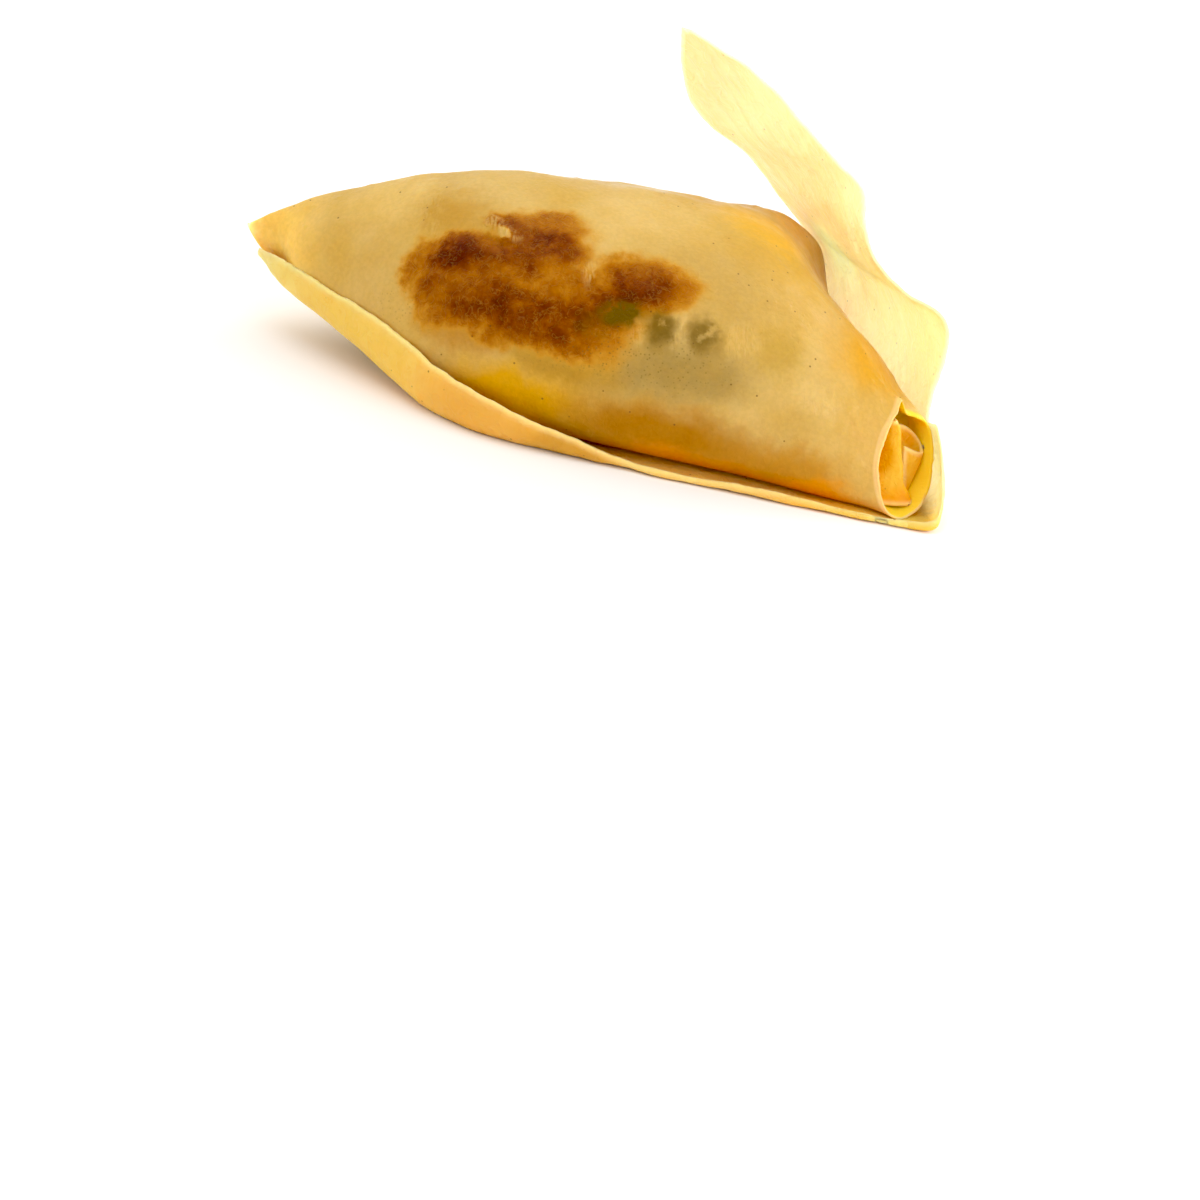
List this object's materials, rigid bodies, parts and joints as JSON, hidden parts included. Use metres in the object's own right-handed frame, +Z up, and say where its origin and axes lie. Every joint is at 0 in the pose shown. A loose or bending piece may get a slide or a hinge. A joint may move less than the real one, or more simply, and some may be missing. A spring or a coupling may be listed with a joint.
{
  "type": "samosa",
  "caption": "Fried three-cornered samosa of folded pastry strip, with a pinched tip, a blunt ear, an open rolled corner and a loose end standing up as a flap.",
  "frame": {"origin": "on the flat underside, about under the middle of the parcel", "axes": "+X runs from the pinched tip to the open roll, +Y from the front skirt to the blunt ear at the back, +Z up from the flat underside"},
  "size_m": [0.104, 0.0644, 0.0482],
  "materials": {
    "pastry": "thin fried pastry, slightly oily and translucent, golden tan with browned filling showing through"
  },
  "bodies": {
    "root": {"samosa": "pastry"}
  },
  "joints": []
}
